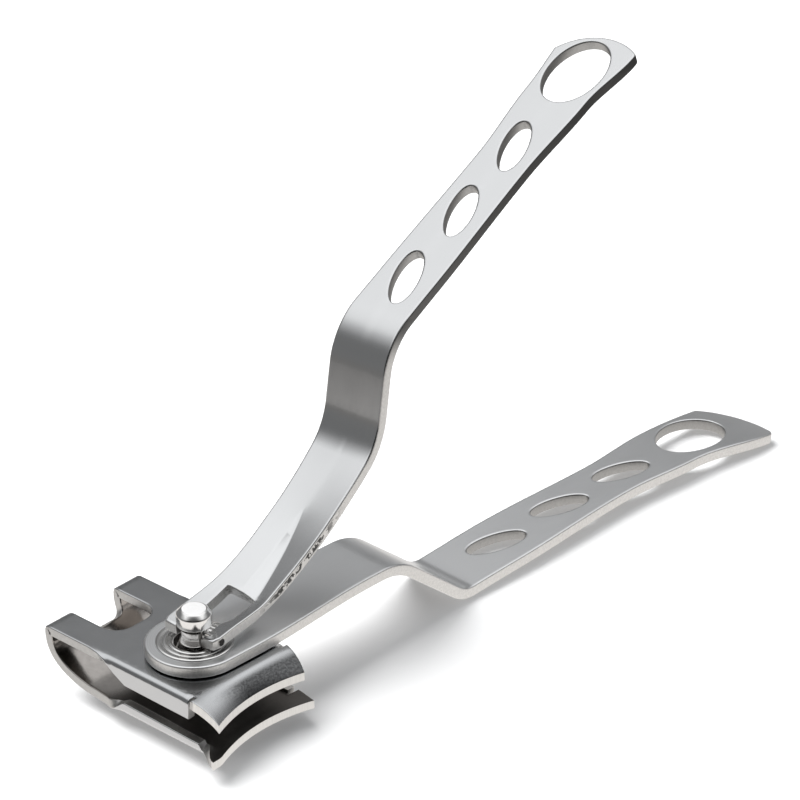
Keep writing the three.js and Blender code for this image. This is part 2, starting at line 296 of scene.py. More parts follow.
def drop_loose(mesh):
    """Removes the points that no face uses."""
    bm = bmesh.new()
    bm.from_mesh(mesh)
    bmesh.ops.delete(bm, geom=[v for v in bm.verts if not v.link_faces], context="VERTS")
    bm.to_mesh(mesh)
    bm.free()


def finish_surface(piece, materials, sharp=35):
    """Materials, sharp edges and face-weighted normals."""
    for material in materials:
        piece.data.materials.append(material)
    piece.data.set_sharp_from_angle(angle=math.radians(sharp))
    weights = piece.modifiers.new("weighted", "WEIGHTED_NORMAL")
    weights.keep_sharp = True
    weights.weight = 70


def turned(name, profile, segments, axis_place, slot_of=lambda k: 0):
    """A lathe piece from (radius, height) points. Its ends lie on the axis, or the profile closes on
    itself."""
    verts, polygons, slots, coords = [], [], [], []
    closed = profile[0] == profile[-1]
    rows = profile[:-1] if closed else profile
    rings = []
    for r, z in rows:
        if r < 1e-6:
            verts.append(axis_place(Vector((0, 0, z))))
            coords.append((0, 0, z))
            rings.append([len(verts) - 1] * segments)
            continue
        ring = []
        for i in range(segments):
            angle = 2 * math.pi * i / segments
            verts.append(axis_place(Vector((r * math.cos(angle), r * math.sin(angle), z))))
            coords.append((r, angle, z))
            ring.append(len(verts) - 1)
        rings.append(ring)
    pairs = list(zip(rings, rings[1:])) + ([(rings[-1], rings[0])] if closed else [])
    for k, (a, b) in enumerate(pairs):
        for i in range(segments):
            j = (i + 1) % segments
            corners = [a[i], a[j], b[j], b[i]]
            polygons.append(tuple(dict.fromkeys(corners)))
            slots.append(slot_of(k))
    return mesh_object(name, verts, polygons, slots, coords)


# ---- the stamped handle and the forked lever ----

# (length, turn in degrees) of each stretch
HANDLE_RUNS = [(EYE_R + 28.3, 0), (6.2, -39.3), (10.4, 0), (3.15, 43.1), (HANDLE_END - 62, -4.5), (14, -9.2)]
LEVER_RUNS = [(32.2, 33), (6.05, 41.5), (5.3, 0), (9.25, -56.5), (LEVER_END - 51.6, 0)]
# (distance, half width towards -Y, half width towards +Y)
HANDLE_SIDES = table([
    (4, 6.35, 6.35), (27, 4.95, 4.95), (47, 5.05, 5.05), (58, 5.15, 5.15), (80, 4.4, 4.4), (92, 5.2, 5.2),
    (105, 6.9, 5.0)])
LEVER_SIDES = table([
    (0, 4.45, 4.25), (10, 4.6, 3.6), (22, 5.0, 4.0), (36, 4.65, 4.3), (57, 4.5, 4.2), (79, 4.1, 4.0),
    (92, 4.7, 4.8), (102, 6.1, 5.5)])
# the pressed facet's borders as (distance, y), and its (distance, near tilt, far tilt)
FAR_LINE = [(2, -0.9), (9, -0.5), (17, 0.0), (22.6, 0.0)]
NEAR_LINE = [(3, -2.2), (8.2, -2.75), (14, -1.68), (22.6, -0.06)]
TILTS = table([(0, 0.2, 0.06), (8, 0.25, 0.1), (16, 0.23, 0.09), (24, 0.12, 0.03), (34, 0, 0)])


def end_distances(distances, end):
    body = [s for s in distances if s < end - END_SPAN - 0.3]
    return body + [end - END_SPAN + END_SPAN * math.sin(i / 26 * math.pi / 2) for i in range(27)]


def without_doubles(points, gap=0.02):
    kept = []
    for p in points:
        if not kept or math.dist(p, kept[-1]) > gap:
            kept.append(p)
    if math.dist(kept[0], kept[-1]) <= gap:
        kept.pop()
    return kept


def grid_of(distances, low, high, step=1.1):
    count = math.ceil((high - low) / step)
    return [(s, low + (high - low) * (i + 0.5 * (k % 2)) / count)
            for k, s in enumerate(distances) for i in range(count + 1)]


def grip_holes(first, slant):
    holes = [ellipse(first + i * OVAL_PITCH, *OVAL, slant, 72) for i in range(3)]
    return holes + [ellipse(first + 2 * OVAL_PITCH + BIG_STEP, *BIG, 0, 96)]


def hole_walls(halves, first):
    """Material slot of the cut edge: 3 in the grip's holes, whose walls get a darker copy of the edge as painted
    shade, and 2 on the outline.
    """
    last = first + 2 * OVAL_PITCH + BIG_STEP + BIG[0] + 0.1
    return lambda s, y: 3 if 50 < s < last and abs(y) < halves(s)[y > 0] - 0.3 else 2


def lower_handle():
    line = sheet_line(-EYE_R, EYE_TOP, 0, HANDLE_RUNS)

    def halves(s):
        if s < 0:
            return [math.sqrt(max(EYE_R ** 2 - s * s, 0))] * 2
        return grip_end(HANDLE_SIDES(s), s, HANDLE_END, 12.5, 4)

    def place(s, y, depth):
        x, z, heading = line(s + EYE_R)
        return x + math.sin(heading) * depth, y, z - math.cos(heading) * depth

    eye = [-EYE_R * math.cos(math.radians(3.6 * i)) for i in range(25)]
    plain = [s for s in stations(HANDLE_RUNS, -EYE_R) if s > 0.5]
    distances = end_distances(eye + plain, HANDLE_END)
    outline = [(s, -halves(s)[0]) for s in distances] + [(s, halves(s)[1]) for s in reversed(distances)]
    loops = [without_doubles(outline), ellipse(0, EYE_HOLE_R, EYE_HOLE_R, 0, 96)]
    loops += grip_holes(GRIP_FIRST, -OVAL_SLANT)
    return sheet_mesh("handle_sheet", loops, grid_of([-4.6, -3, -1.5] + plain, -6, 6), place, SHEET,
                      lambda s, y: EDGE_ROUND, hole_walls(halves, GRIP_FIRST))


def fork_space(start):
    """The fork's inner edge, from the far arm's end round the window to the near arm's end."""
    half, near, far, end = 2.0, -2.7, 1.45, 8.25
    points = [(start, half), (0.4, half), (2.4, half)]
    points += [(2.4 + 1.6 * t, half + (far - half) * smooth(t)) for t in (0.25, 0.5, 0.75, 1)]
    points += [(6, far), (end - 0.3, far), (end - 0.08, far - 0.08), (end, far - 0.3)]
    points += [(end, y) for y in (0.2, -0.9, -1.8)]
    points += [(end, near + 0.3), (end - 0.08, near + 0.08), (end - 0.3, near), (6, near)]
    points += [(4 - 1.6 * t, near - (near + half) * smooth(t)) for t in (0, 0.25, 0.5, 0.75)]
    return points + [(2.4, -half), (0.4, -half), (start, -half)]


def line_at(line, s):
    """The line's y at a distance, straight between its points."""
    for (a, b), (c, d) in zip(line, line[1:]):
        if s <= c:
            return b + (d - b) * max(0.0, s - a) / (c - a)
    return line[-1][1]


def crease(s, y):
    """How far the pressed facet behind the fork lowers the lever. The facet lies between two lines that
    meet at its far tip, and the sheet rises from them to both sides."""
    far, near = line_at(FAR_LINE, s), line_at(NEAR_LINE, s)
    near_tilt, far_tilt = TILTS(s)
    level = far_tilt * 3.9 - far_tilt * max(0.0, y - far)
    drop = (0.15 + 0.2 * smooth(s / 8)) * (far - near)
    share = min(1.0, max(0.0, (far - y) / (far - near)))
    soft = 2.6 * smooth((s - 20) / 6)
    beyond = (near - y + math.hypot(near - y, soft)) / 2
    return level + drop * (share - 0.3 * share * share) / 0.7 - near_tilt * beyond


def crease_lines():
    """Both lines of the facet, which meet at its tip, and a close line on each side of them."""
    rows = [8.9 + 13.3 * i / 40 for i in range(41)]
    tip = (22.6, -0.03)
    lines = [[(s, line_at(line, s)) for s in rows] + [tip] for line in (FAR_LINE, NEAR_LINE)]
    for line, side in ((FAR_LINE, 1), (FAR_LINE, -1), (NEAR_LINE, 1), (NEAR_LINE, -1)):
        inner = (line is FAR_LINE) == (side < 0)
        lines.append([(s, line_at(line, s) + side * 0.2) for s in rows if not inner or s < 18.6])
    return lines


def turn_lever(x, y, z):
    c, s = math.cos(LEVER_YAW), math.sin(LEVER_YAW)
    return x * c - y * s, x * s + y * c, z


def top_lever():
    line = sheet_line(-1.24, LEVER_TOP - 0.14, math.radians(5.5), LEVER_RUNS)

    def halves(s):
        nose = 1 - 0.06 * s * s if s < 0 else 1
        return [nose * half for half in grip_end(LEVER_SIDES(s), s, LEVER_END, 8, 1.6)]

    def place(s, y, depth):
        x, z, heading = line(s - LEVER_START)
        sink = crease(s, y)
        depth += sink - max(0.0, sink - UNDER_SINK) * depth / SHEET
        return turn_lever(x + math.sin(heading) * depth, y, z - math.cos(heading) * depth)

    def rounding(s, y):
        return 0.38 if s < -0.9 else EDGE_ROUND

    distances = end_distances(stations(LEVER_RUNS, LEVER_START, 1.0), LEVER_END)
    near = [(s, -halves(s)[0]) for s in distances]
    far = [(s, halves(s)[1]) for s in reversed(distances)]
    loops = [without_doubles(near + far + fork_space(LEVER_START))] + grip_holes(LEVER_FIRST, OVAL_SLANT)
    grid = grid_of([s for s in distances if s < 35], -6, 6, 0.6)
    grid += grid_of([s for s in distances if s >= 35], -6, 6)
    return sheet_mesh("lever_sheet", loops, grid, place, SHEET, rounding, hole_walls(halves, LEVER_FIRST),
                      creases=crease_lines())


# ---- head: one folded sheet, from the lower cutting edge round the bow to the upper one ----

def bezier(points, count):
    a, b, c, d = [np.array(p, float) for p in points]
    t = np.linspace(0, 1, count + 1)[:, None]
    return list((1 - t) ** 3 * a + 3 * t * (1 - t) ** 2 * b + 3 * t * t * (1 - t) * c + t ** 3 * d)


def quadratic(a, b, c, count):
    a, b, c = [np.array(p, float) for p in (a, b, c)]
    t = np.linspace(0, 1, count + 1)[:, None]
    return list((1 - t) ** 2 * a + 2 * t * (1 - t) * b + t * t * c)


def head_path():
    """Points (y, z) along the head's outer face."""
    steps = [quadratic((-12.3, 2.2), (-9.4, 1.9), (-7.2, 1.9), 14), [(-6, 1.9), (-3, 1.9), (0, 1.9), (3, 1.9)]]
    steps.append(quadratic((4, 1.9), (5.5, 1.9), (7, 2.01), 5))
    steps.append([(9, 2.12)])
    steps.append(bezier([(11.4, 2.25), (15.8, 2.95), (19, 4.6), (19, 8.5)], 30))
    steps.append(bezier([(19, 8.5), (19, 9.1), (18.8, 9.4), (18.2, 9.4)], 10)[1:])
    steps.append([(y, 9.4) for y in (17, 15, 12.5, 10, 7.5, 5, 2.5, 0, -2.5, -5)])
    steps.append(quadratic((-7.0, 9.4), (-9.8, 9.3), (-11.9, 7.65), 22))
    return np.array([p for step in steps for p in step])


PATH = head_path()
ALONG = np.concatenate([[0], np.cumsum(np.linalg.norm(np.diff(PATH, axis=0), axis=1))])
HEAD_LENGTH = float(ALONG[-1])
TANGENT = np.gradient(PATH, ALONG, axis=0)
TANGENT /= np.linalg.norm(TANGENT, axis=1, keepdims=True)


def distance_at(y, upper):
    """Distance along the path where it passes y, on the lower or the upper jaw."""
    rear = int(PATH[:, 0].argmax())
    if upper:
        return float(np.interp(-y, -PATH[rear:, 0], ALONG[rear:]))
    return float(np.interp(y, PATH[:rear, 0], ALONG[:rear]))


def rising_to(z):
    """Distance along the path where the bow passes height z."""
    rear = slice(int(np.argmax(PATH[:, 0] > 11)), int(PATH[:, 0].argmax()) + 1)
    return float(np.interp(z, PATH[rear, 1], ALONG[rear]))


LOW = {y: distance_at(y, False) for y in (-11.8, -8.75, -8.4, -7.2, 4.6, 5.0, 6.4, 8.0, 10.0)}
UP = {y: distance_at(y, True) for y in (11.2, 9.5, 8.0, 7.2, 6.6, 6.4, 4.4, 0, -6.8, -7.15)}
LOW_FOLD, UP_FOLD = 1.35, 0.9


def fold_share(t, left):
    """(share of the side's right-angle fold, fold radius) at distance t. The left side of the lower
    blade keeps part of the fold, and the right side is notched."""
    if t < HEAD_LENGTH / 2:
        front = LOW[-11.8] if left else LOW[-8.75]
        share = smooth((t - front) / (LOW[-8.4] - front)) * (1 - smooth((t - LOW[5.0]) / (LOW[8.0] - LOW[5.0])))
        return share, LOW_FOLD
    share = smooth((t - UP[11.2]) / (UP[6.6] - UP[11.2])) * (1 - smooth((t - UP[-6.8]) / 0.3))
    return share, UP_FOLD


def folded(u, t):
    """A point at u across the head: outer and inner positions as (across, depth)."""
    share, radius = fold_share(t, u < 0)
    a = abs(u)
    start = HEAD_HALF - radius
    thick, small = HEAD_SHEET, 0.12
    if share < 1e-3:
        return (a, 0.0), (a, thick)
    angle = share * math.pi / 2
    bend = radius / share
    inner_bend = max(bend - thick, small)
    shift = max(0.0, thick + inner_bend - bend) * math.tan(angle / 2)
    if a <= start:
        return (a, 0.0), (a - shift * smooth((a - 4) / (start - 4)), thick)
    arc = radius * math.pi / 2
    turn = min(a - start, arc) / bend
    run = max(a - start - arc, 0.0)
    outer = (start + bend * math.sin(turn) + run * math.cos(angle),
             bend * (1 - math.cos(turn)) + run * math.sin(angle))
    inner_run = run - shift * (1 - math.exp(-run / shift)) if shift > 1e-6 else run
    inner = (start - shift + inner_bend * math.sin(turn) + inner_run * math.cos(angle),
             thick + inner_bend * (1 - math.cos(turn)) + inner_run * math.sin(angle))
    return outer, inner


def hollow(y, a, t):
    """Draws the cutting edges back at the middle."""
    lower = t < HEAD_LENGTH / 2
    front = -12.3 if lower else -11.9
    on_blade = t < LOW[-7.2] if lower else t > UP[-7.15]
    if not on_blade or y >= -7.2:
        return y
    depth = BLADE_HOLLOW * (1 - min(1, a / HEAD_HALF) ** 2)
    return y + depth * (-7.2 - y) / (-7.2 - front)


def head_place(t, u, depth):
    y, z = (float(np.interp(t, ALONG, PATH[:, k])) for k in (0, 1))
    ty, tz = (float(np.interp(t, ALONG, TANGENT[:, k])) for k in (0, 1))
    size = math.hypot(ty, tz)
    ny, nz = -tz / size, ty / size
    edge = max(smooth((2.9 - t) / 2.4), smooth((t - HEAD_LENGTH + 3.2) / 2.6))
    down = 1 if t < HEAD_LENGTH / 2 else -1
    iy, iz = ny * (1 - edge), nz * (1 - edge) + down * edge * 1.2 / HEAD_SHEET
    (xo, do), (xi, di) = folded(u, t)
    part = depth / HEAD_SHEET
    across = xo + (xi - xo) * part
    oy, oz = y + ny * do, z + nz * do
    py = y + iy * HEAD_SHEET + ny * (di - HEAD_SHEET)
    pz = z + iz * HEAD_SHEET + nz * (di - HEAD_SHEET)
    y, z = oy + (py - oy) * part, oz + (pz - oz) * part
    y = hollow(y, abs(u), t)
    x = math.copysign(across, u) + HEAD_SHIFT
    c, s = math.cos(HEAD_TURN), math.sin(HEAD_TURN)
    return x * c - y * s, x * s + y * c, z


def head_side(lower_blade, upper_blade, notch):
    """Half widths of the unfolded head as (distance, half width)."""
    low = [(0, lower_blade), (LOW[-8.75], 8.9)] + notch
    low += [(LOW[-8.4], 9.75), (LOW[4.6], 10.05), (LOW[5.0], 9.9), (LOW[6.4], 8.9), (LOW[8.0], 8.3),
            (LOW[10.0], 8.2)]
    up = [(UP[11.2], 8.2), (UP[9.5], 8.4), (UP[8.0], 8.85), (UP[7.2], 9.35), (UP[6.4], 10.01), (UP[4.4], 11.06)]
    up += [(UP[-6.8], 11.16), (UP[-6.8], 7.65), (UP[-7.15], 7.65), (UP[-7.15], HEAD_HALF),
           (HEAD_LENGTH, upper_blade)]
    return low + up


def finer(points, step=0.55):
    found = []
    for (a, b), (c, d) in zip(points, points[1:]):
        count = max(1, math.ceil(math.dist((a, b), (c, d)) / step))
        found += [(a + (c - a) * i / count, b + (d - b) * i / count) for i in range(count)]
    return found + [points[-1]]


def slot_outline():
    """The slot over the bow, clockwise."""
    low, high = rising_to(5.4), distance_at(10.4, True)
    half = 3.8

    def corner(t, radius, side, sign):
        for i in range(9):
            angle = math.radians(90 * i / 8)
            yield (t + sign * radius * (1 - math.sin(angle)), side * (half - radius + radius * math.cos(angle)))
    high_left = list(corner(high, 2.6, -1, -1))
    high_right = list(corner(high, 2.6, 1, -1))
    low_left = list(corner(low, 1.2, -1, 1))
    low_right = list(corner(low, 1.2, 1, 1))
    ring = low_left[::-1] + high_left + high_right[::-1] + low_right
    ring = finer(without_doubles(ring) + [ring[0]], 0.6)[:-1]
    area = sum(a * d - c * b for (a, b), (c, d) in zip(ring, ring[1:] + ring[:1]))
    return ring if area < 0 else ring[::-1]


def head_sheet():
    left = finer(head_side(10.05, 8.35, []))
    right = finer(head_side(8.15, 7.25, [(LOW[-8.75], 7.2), (LOW[-8.4], 7.2)]))
    tip = finer([(HEAD_LENGTH, -8.35), (HEAD_LENGTH, 7.25)], 0.6)[1:-1]
    foot = finer([(0, 8.15), (0, -10.05)], 0.6)[1:-1]
    outline = [(t, -a) for t, a in left] + tip + [(t, a) for t, a in reversed(right)] + foot
    holes = [[(UP[0] + s, u - HEAD_SHIFT) for s, u in ellipse(0, 3.65, 3.65, 0, 72)],
             [(distance_at(0, False) + s, u - HEAD_SHIFT) for s, u in ellipse(0, 2.2, 2.2, 0, 48)]]
    loops = [without_doubles(outline), slot_outline()] + holes
    rows = []
    for a, b in zip(ALONG, ALONG[1:]):
        rows += list(np.linspace(a, b, max(2, math.ceil((b - a) / 0.9) + 1))[:-1])
    grid = grid_of(rows, -11.4, 11.4, 0.9)
    for t in rows:
        r = LOW_FOLD if t < HEAD_LENGTH / 2 else UP_FOLD
        grid += [(t, side * (HEAD_HALF - r + r * math.radians(10 * k))) for side in (-1, 1) for k in range(10)]

    def rounding(t, u):
        if t < 0.1 or t > HEAD_LENGTH - 0.1:
            return 0.05
        if t < LOW[-8.75] or t > UP[-7.15]:
            return 0.07
        return 0.16

    def edge_slot(t, u):
        blade = t < 0.1 or t > HEAD_LENGTH - 0.1
        side = t > UP[-7.15] + 0.05
        return 3 if blade or side else 2
    return sheet_mesh("head_sheet", loops, grid, head_place, HEAD_SHEET, rounding, edge_slot, margin=0.22, steps=3)


# ---- turned parts ----

def softened(profile, radius=0.12, steps=3):
    """The profile with each inner corner rounded."""
    found = [profile[0]]
    for before, at, after in zip(profile, profile[1:], profile[2:]):
        a, b, c = (np.array(p, float) for p in (before, at, after))
        start, end = (b + arm / np.linalg.norm(arm) * min(radius, 0.45 * np.linalg.norm(arm))
                      for arm in (a - b, c - b))
        found += [tuple(p) for p in quadratic(start, b, end, steps)]
    return found + [profile[-1]]


def swivel_post():
    profile = softened([(0, 0.01), (2.55, 0.01), (2.88, 0.34), (2.88, 1.1), (2.6, 1.3), (1.62, 1.34), (1.6, 10.6),
                        (1.98, 11.0), (2.0, 11.35), (1.74, 12.2), (1.78, 13.2), (2.27, 13.75), (2.29, 15.28),
                        (1.72, 15.8), (1.5, 15.88), (0, 15.89)], 0.16)
    return turned("post_turned", profile, 72, lambda v: turn_lever(*v), lambda k: 1 if k > len(profile) - 5 else 0)


def cross_pin():
    """The pin across the fork. Its ends, painted nearly black as the shadowed gap at the lever's bore, stand just
    proud of the lever's arms.
    """
    profile = [(0, -4.44), (0.2, -4.44), (0.22, -4.46), (0.5, -4.46), (0.52, -4.44), (0.52, 4.24), (0.5, 4.26),
               (0.22, 4.26), (0.2, 4.24), (0, 4.24)]

    def place(v):
        return turn_lever(v[1], v[2], PIN_Z + v[0])
    # slot 1 on the end faces carries the painted shadow
    return turned("pin_turned", profile, 40, place, lambda k: 1 if k < 3 or k > 5 else 0)


def swivel_eyelet():
    profile = softened([(3.3, 7.8), (4.35, 7.8), (4.35, 8.06), (3.61, 8.08), (3.61, 11.22), (4.92, 11.22),
                        (4.92, 11.3), (4.7, 11.37), (4.25, 11.36), (4.2, 11.31), (4.05, 11.31), (4.0, 11.37),
                        (3.55, 11.39), (3.45, 11.3), (3.3, 11.3), (3.2, 11.38), (2.9, 11.36), (2.66, 11.2),
                        (2.66, 8.0), (3.3, 7.8)], 0.05, 2)
    return turned("eyelet_turned", profile, 96, tuple)


# ---- finishes ----

class Finish:
    """A procedural material, built from small node helpers."""

    def __init__(self, name):
        self.material = bpy.data.materials.new(name)
        self.material.use_nodes = True
        self.tree = self.material.node_tree
        self.shader = self.tree.nodes["Principled BSDF"]
        self.shader.inputs["Metallic"].default_value = 1.0
        self.flat = self.node("ShaderNodeAttribute", attribute_name="flat").outputs["Vector"]
        axes = self.node("ShaderNodeSeparateXYZ", {"Vector": self.flat})
        self.s, self.y, self.depth = axes.outputs[0], axes.outputs[1], axes.outputs[2]

    def node(self, kind, inputs=None, **settings):
        node = self.tree.nodes.new(kind)
        for key, value in settings.items():
            setattr(node, key, value)
        for key, value in (inputs or {}).items():
            self.set(node.inputs[key], value)
        return node

    def set(self, socket, value):
        if isinstance(value, bpy.types.NodeSocket):
            self.tree.links.new(value, socket)
        else:
            socket.default_value = value

    def math(self, operation, *values):
        node = self.node("ShaderNodeMath", operation=operation)
        for socket, value in zip(node.inputs, values):
            self.set(socket, value)
        return node.outputs[0]

    def noise(self, scale, detail=3.0, rough=0.6):
        """Noise over the flat coordinates, in cells per millimetre along and across."""
        scaled = self.node("ShaderNodeVectorMath", {0: self.flat, 1: scale}, operation="MULTIPLY").outputs[0]
        node = self.node("ShaderNodeTexNoise", {"Vector": scaled, "Scale": 1.0, "Detail": detail,
                                                "Roughness": rough})
        return node.outputs[0]

    def blend(self, share, low, high):
        """Low to high as share goes from 0 to 1."""
        return self.math("ADD", low, self.math("MULTIPLY", share, self.math("SUBTRACT", high, low)))

    def step(self, value, start, end):
        node = self.node("ShaderNodeMapRange", {"Value": value, "From Min": start, "From Max": end})
        node.interpolation_type = "SMOOTHSTEP"
        return node.outputs[0]

    def tint(self, value, colour):
        """A grey value times a colour, into the base colour."""
        grey = self.node("ShaderNodeCombineColor", {0: value, 1: value, 2: value}).outputs[0]
        node = self.node("ShaderNodeMix", data_type="RGBA", blend_type="MULTIPLY")
        for socket, given in ((0, 1.0), (6, grey), (7, colour)):
            self.set(node.inputs[socket], given)
        self.set(self.shader.inputs["Base Color"], node.outputs[2])

    def rough(self, value):
        self.set(self.shader.inputs["Roughness"], value)

    def bump(self, height, strength, distance):
        node = self.node("ShaderNodeBump", {"Height": height, "Strength": strength, "Distance": distance})
        self.set(self.shader.inputs["Normal"], node.outputs[0])


def satin(name, eye, rough=0.17, level=0.7):
    """Brushed along the sheet, and turned in rings round the handle's eye."""
    f = Finish(name)
    streaks = f.noise((0.5, 14.0, 1.0), 3.0)
    cloud = f.noise((0.16, 0.35, 1.0), 2.0)
    grain = streaks
    if eye:
        radius = f.math("SQRT", f.math("ADD", f.math("MULTIPLY", f.s, f.s), f.math("MULTIPLY", f.y, f.y)))
        rings = f.math("ADD", 0.5, f.math("MULTIPLY", 0.5, f.math("SINE", f.math("MULTIPLY", radius, 21.0))))
        near = f.math("SUBTRACT", 1.0, f.step(radius, 6.3, 8.2))
        grain = f.blend(near, streaks, f.math("MULTIPLY", rings, f.blend(cloud, 0.5, 1.2)))
    f.tint(f.blend(grain, level - 0.03, level + 0.03), (0.99, 0.995, 1.0, 1))
    f.rough(f.math("ADD", f.blend(cloud, rough, rough + 0.06), f.math("MULTIPLY", grain, 0.05)))
    f.bump(grain, 0.05, 0.00003)
    return f.material


def cut_edge(name, blotches=False, painted_dark_reflection=None, pale=0.98):
    """The sheared edge of the sheet, pale and grainy, with torn dark patches where it was forced, and where asked
    a painted dark reflection beyond a given span along the sheet.
    """
    f = Finish(name)
    grain = f.noise((3.2, 3.2, 3.2), 5.0, 0.7)
    level = f.blend(grain, pale * 0.5, pale)
    if blotches:
        patch = f.step(f.noise((0.9, 0.4, 1.3), 3.0, 0.7), 0.47, 0.51)
        reach = f.math("MULTIPLY", f.step(f.s, 6.0, 11.0), f.math("SUBTRACT", 1.0, f.step(f.s, 19.0, 26.0)))
        middle = f.math("MULTIPLY", f.step(f.depth, 0.2, 0.4), f.math("SUBTRACT", 1.0, f.step(f.depth, 1.0, 1.3)))
        mask = f.math("MULTIPLY", f.math("MULTIPLY", patch, reach), middle)
        level = f.blend(mask, level, 0.07)
    if painted_dark_reflection:
        # painted dark reflection: the edge turns dark beyond this span
        level = f.blend(f.step(f.s, *painted_dark_reflection), level, 0.16)
    f.tint(level, (1.0, 0.99, 0.97, 1))
    f.rough(f.blend(grain, 0.34, 0.5))
    f.bump(grain, 0.35, 0.00005)
    return f.material


def polished(name):
    """Barrel-polished spring steel, mottled on the blades, where a painted dark reflection darkens the face except
    towards low y.
    """
    f = Finish(name)
    cloud = f.noise((0.3, 0.3, 1.0), 3.0)
    specks = f.noise((2.6, 2.6, 1.0), 5.0, 0.8)
    blade = f.math("MAXIMUM", f.step(f.s, HEAD_LENGTH - 4.2, HEAD_LENGTH - 2.6),
                   f.math("SUBTRACT", 1.0, f.step(f.s, 2.0, 4.0)))
    # painted dark reflection across the blade, fading out towards low y
    painted_reflection_side = f.step(f.math("ADD", f.y, f.math("MULTIPLY", specks, 3.0)), -5.5, 1.0)
    mottle_and_painted_reflection = f.math("MULTIPLY", f.math("MULTIPLY", blade, painted_reflection_side), f.blend(f.step(specks, 0.4, 0.6), 0.84, 1.0))
    f.tint(f.blend(mottle_and_painted_reflection, f.blend(cloud, 0.56, 0.62), 0.075), (0.975, 0.985, 1.0, 1))
    f.rough(f.blend(blade, f.blend(cloud, 0.15, 0.21), f.blend(specks, 0.2, 0.36)))
    f.bump(f.math("ADD", cloud, f.math("MULTIPLY", mottle_and_painted_reflection, 0.05)), 0.12, 0.00004)
    return f.material


def honed(name):
    """Ground cutting faces: pale, with fine lines across the edge."""
    f = Finish(name)
    lines = f.noise((3.0, 7.0, 0.5), 3.0, 0.6)
    f.tint(f.blend(lines, 0.62, 0.9), (1.0, 0.99, 0.965, 1))
    f.rough(f.blend(lines, 0.26, 0.4))
    f.bump(lines, 0.2, 0.00003)
    return f.material


def dark_jaw_inside(name):
    """The jaws' inside is dark brown, and the bow's inside is bright."""
    f = Finish(name)
    cloud = f.noise((0.7, 0.7, 0.7), 4.0, 0.65)
    bow = f.math("MULTIPLY", f.step(f.s, LOW[4.6], LOW[10.0]),
                 f.math("SUBTRACT", 1.0, f.step(f.s, UP[11.2], UP[6.4])))
    f.tint(f.blend(bow, f.blend(cloud, 0.06, 0.14), f.blend(cloud, 0.3, 0.46)), (1.0, 0.94, 0.89, 1))
    f.rough(f.blend(bow, f.blend(cloud, 0.3, 0.55), 0.16))
    f.bump(cloud, 0.2, 0.00005)
    return f.material


def bright(name, level=0.86):
    """Turned and polished steel."""
    f = Finish(name)
    lines = f.noise((0.6, 0.4, 6.0), 2.0)
    f.tint(f.blend(lines, level - 0.06, level), (1.0, 0.99, 0.975, 1))
    f.rough(f.blend(lines, 0.1, 0.17))
    f.bump(lines, 0.08, 0.00003)
    return f.material


def cap_face(name):
    """The cap's faced end, finely frosted."""
    f = Finish(name)
    f.shader.inputs["Metallic"].default_value = 0.35
    grain = f.noise((3.0, 2.0, 3.0), 4.0)
    f.tint(f.blend(grain, 0.7, 0.84), (1.0, 0.995, 0.99, 1))
    f.rough(f.blend(grain, 0.5, 0.62))
    f.bump(grain, 0.1, 0.00003)
    return f.material


def painted_shadow_pin_ends(name):
    """The pin's end faces, painted nearly black as the shadowed gap between the pin and the lever's bore."""
    f = Finish(name)
    f.shader.inputs["Metallic"].default_value = 0.4
    grain = f.noise((4.0, 4.0, 4.0))
    f.tint(f.blend(grain, 0.015, 0.04), (1.0, 0.92, 0.85, 1))
    f.rough(f.blend(grain, 0.5, 0.7))
    return f.material


# ---- the pieces, each but the head sheet on its body ----

handle = lower_handle()
# The walls of the grip's holes are a darker copy of the cut edge: painted shade.
finish_surface(handle, [satin("satin_handle", True, 0.27, 0.84), satin("satin_handle_under", False),
                        cut_edge("edge_handle"), cut_edge("hole_wall_painted_shade_handle", pale=0.55)])
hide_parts("lower_handle")
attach(handle, "handle")

# The walls of the lever's grip holes are a darker copy of the cut edge: painted shade.
lever = top_lever()
# The lever's cut edge is painted dark from 44–50 mm on, as a dark reflection.
finish_surface(lever, [satin("satin_lever", False), satin("satin_lever_under", False),
                       cut_edge("edge_lever", True, (44.0, 50.0)), cut_edge("hole_wall_painted_shade_lever", pale=0.6)])
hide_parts("top_lever")
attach(lever, "lever")

pin = cross_pin()
finish_surface(pin, [bright("bright_pin"), painted_shadow_pin_ends("pin_ends_painted_shadow")])
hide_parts("cross_pin")
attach(pin, "lever")

post = swivel_post()
finish_surface(post, [bright("bright_post"), cap_face("cap_face")], 50)
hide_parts("swivel_post")
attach(post, "post")

eyelet = swivel_eyelet()
finish_surface(eyelet, [bright("bright_eyelet", 0.82)], 50)
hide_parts("swivel_eyelet")
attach(eyelet, "head")

head = head_sheet()
finish_surface(head, [polished("polished_head"), dark_jaw_inside("inside_head"), cut_edge("edge_head", pale=0.72),
                      honed("honed_head")])
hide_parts("upper_jaw", "rear_bow", "lower_jaw")
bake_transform(head)

for node in (o for o in bpy.data.objects if o.type == "MESH" and o.hide_render):
    node.data.materials.clear()
    node.data.materials.append(bpy.data.materials["satin_handle_under"])


# ---- floor, light and camera ----

def plate(name, half, z, centre=(0.03, 0.0)):
    mesh = bpy.data.meshes.new(name)
    x, y = centre
    mesh.from_pydata([(x - half, y - half, z), (x + half, y - half, z), (x + half, y + half, z),
                      (x - half, y + half, z)], [], [(0, 1, 2, 3)])
    piece = bpy.data.objects.new(name, mesh)
    bpy.context.scene.collection.objects.link(piece)
    return piece


def pale_floor():
    material = bpy.data.materials.new("pale_floor")
    material.use_nodes = True
    shader = material.node_tree.nodes["Principled BSDF"]
    shader.inputs["Base Color"].default_value = (0.9, 0.9, 0.9, 1)
    shader.inputs["Roughness"].default_value = 0.9
    shader.inputs["Specular IOR Level"].default_value = 0.0
    floor = plate("floor", 3.0, -0.0001)
    floor.data.materials.append(material)
    floor.visible_glossy = False


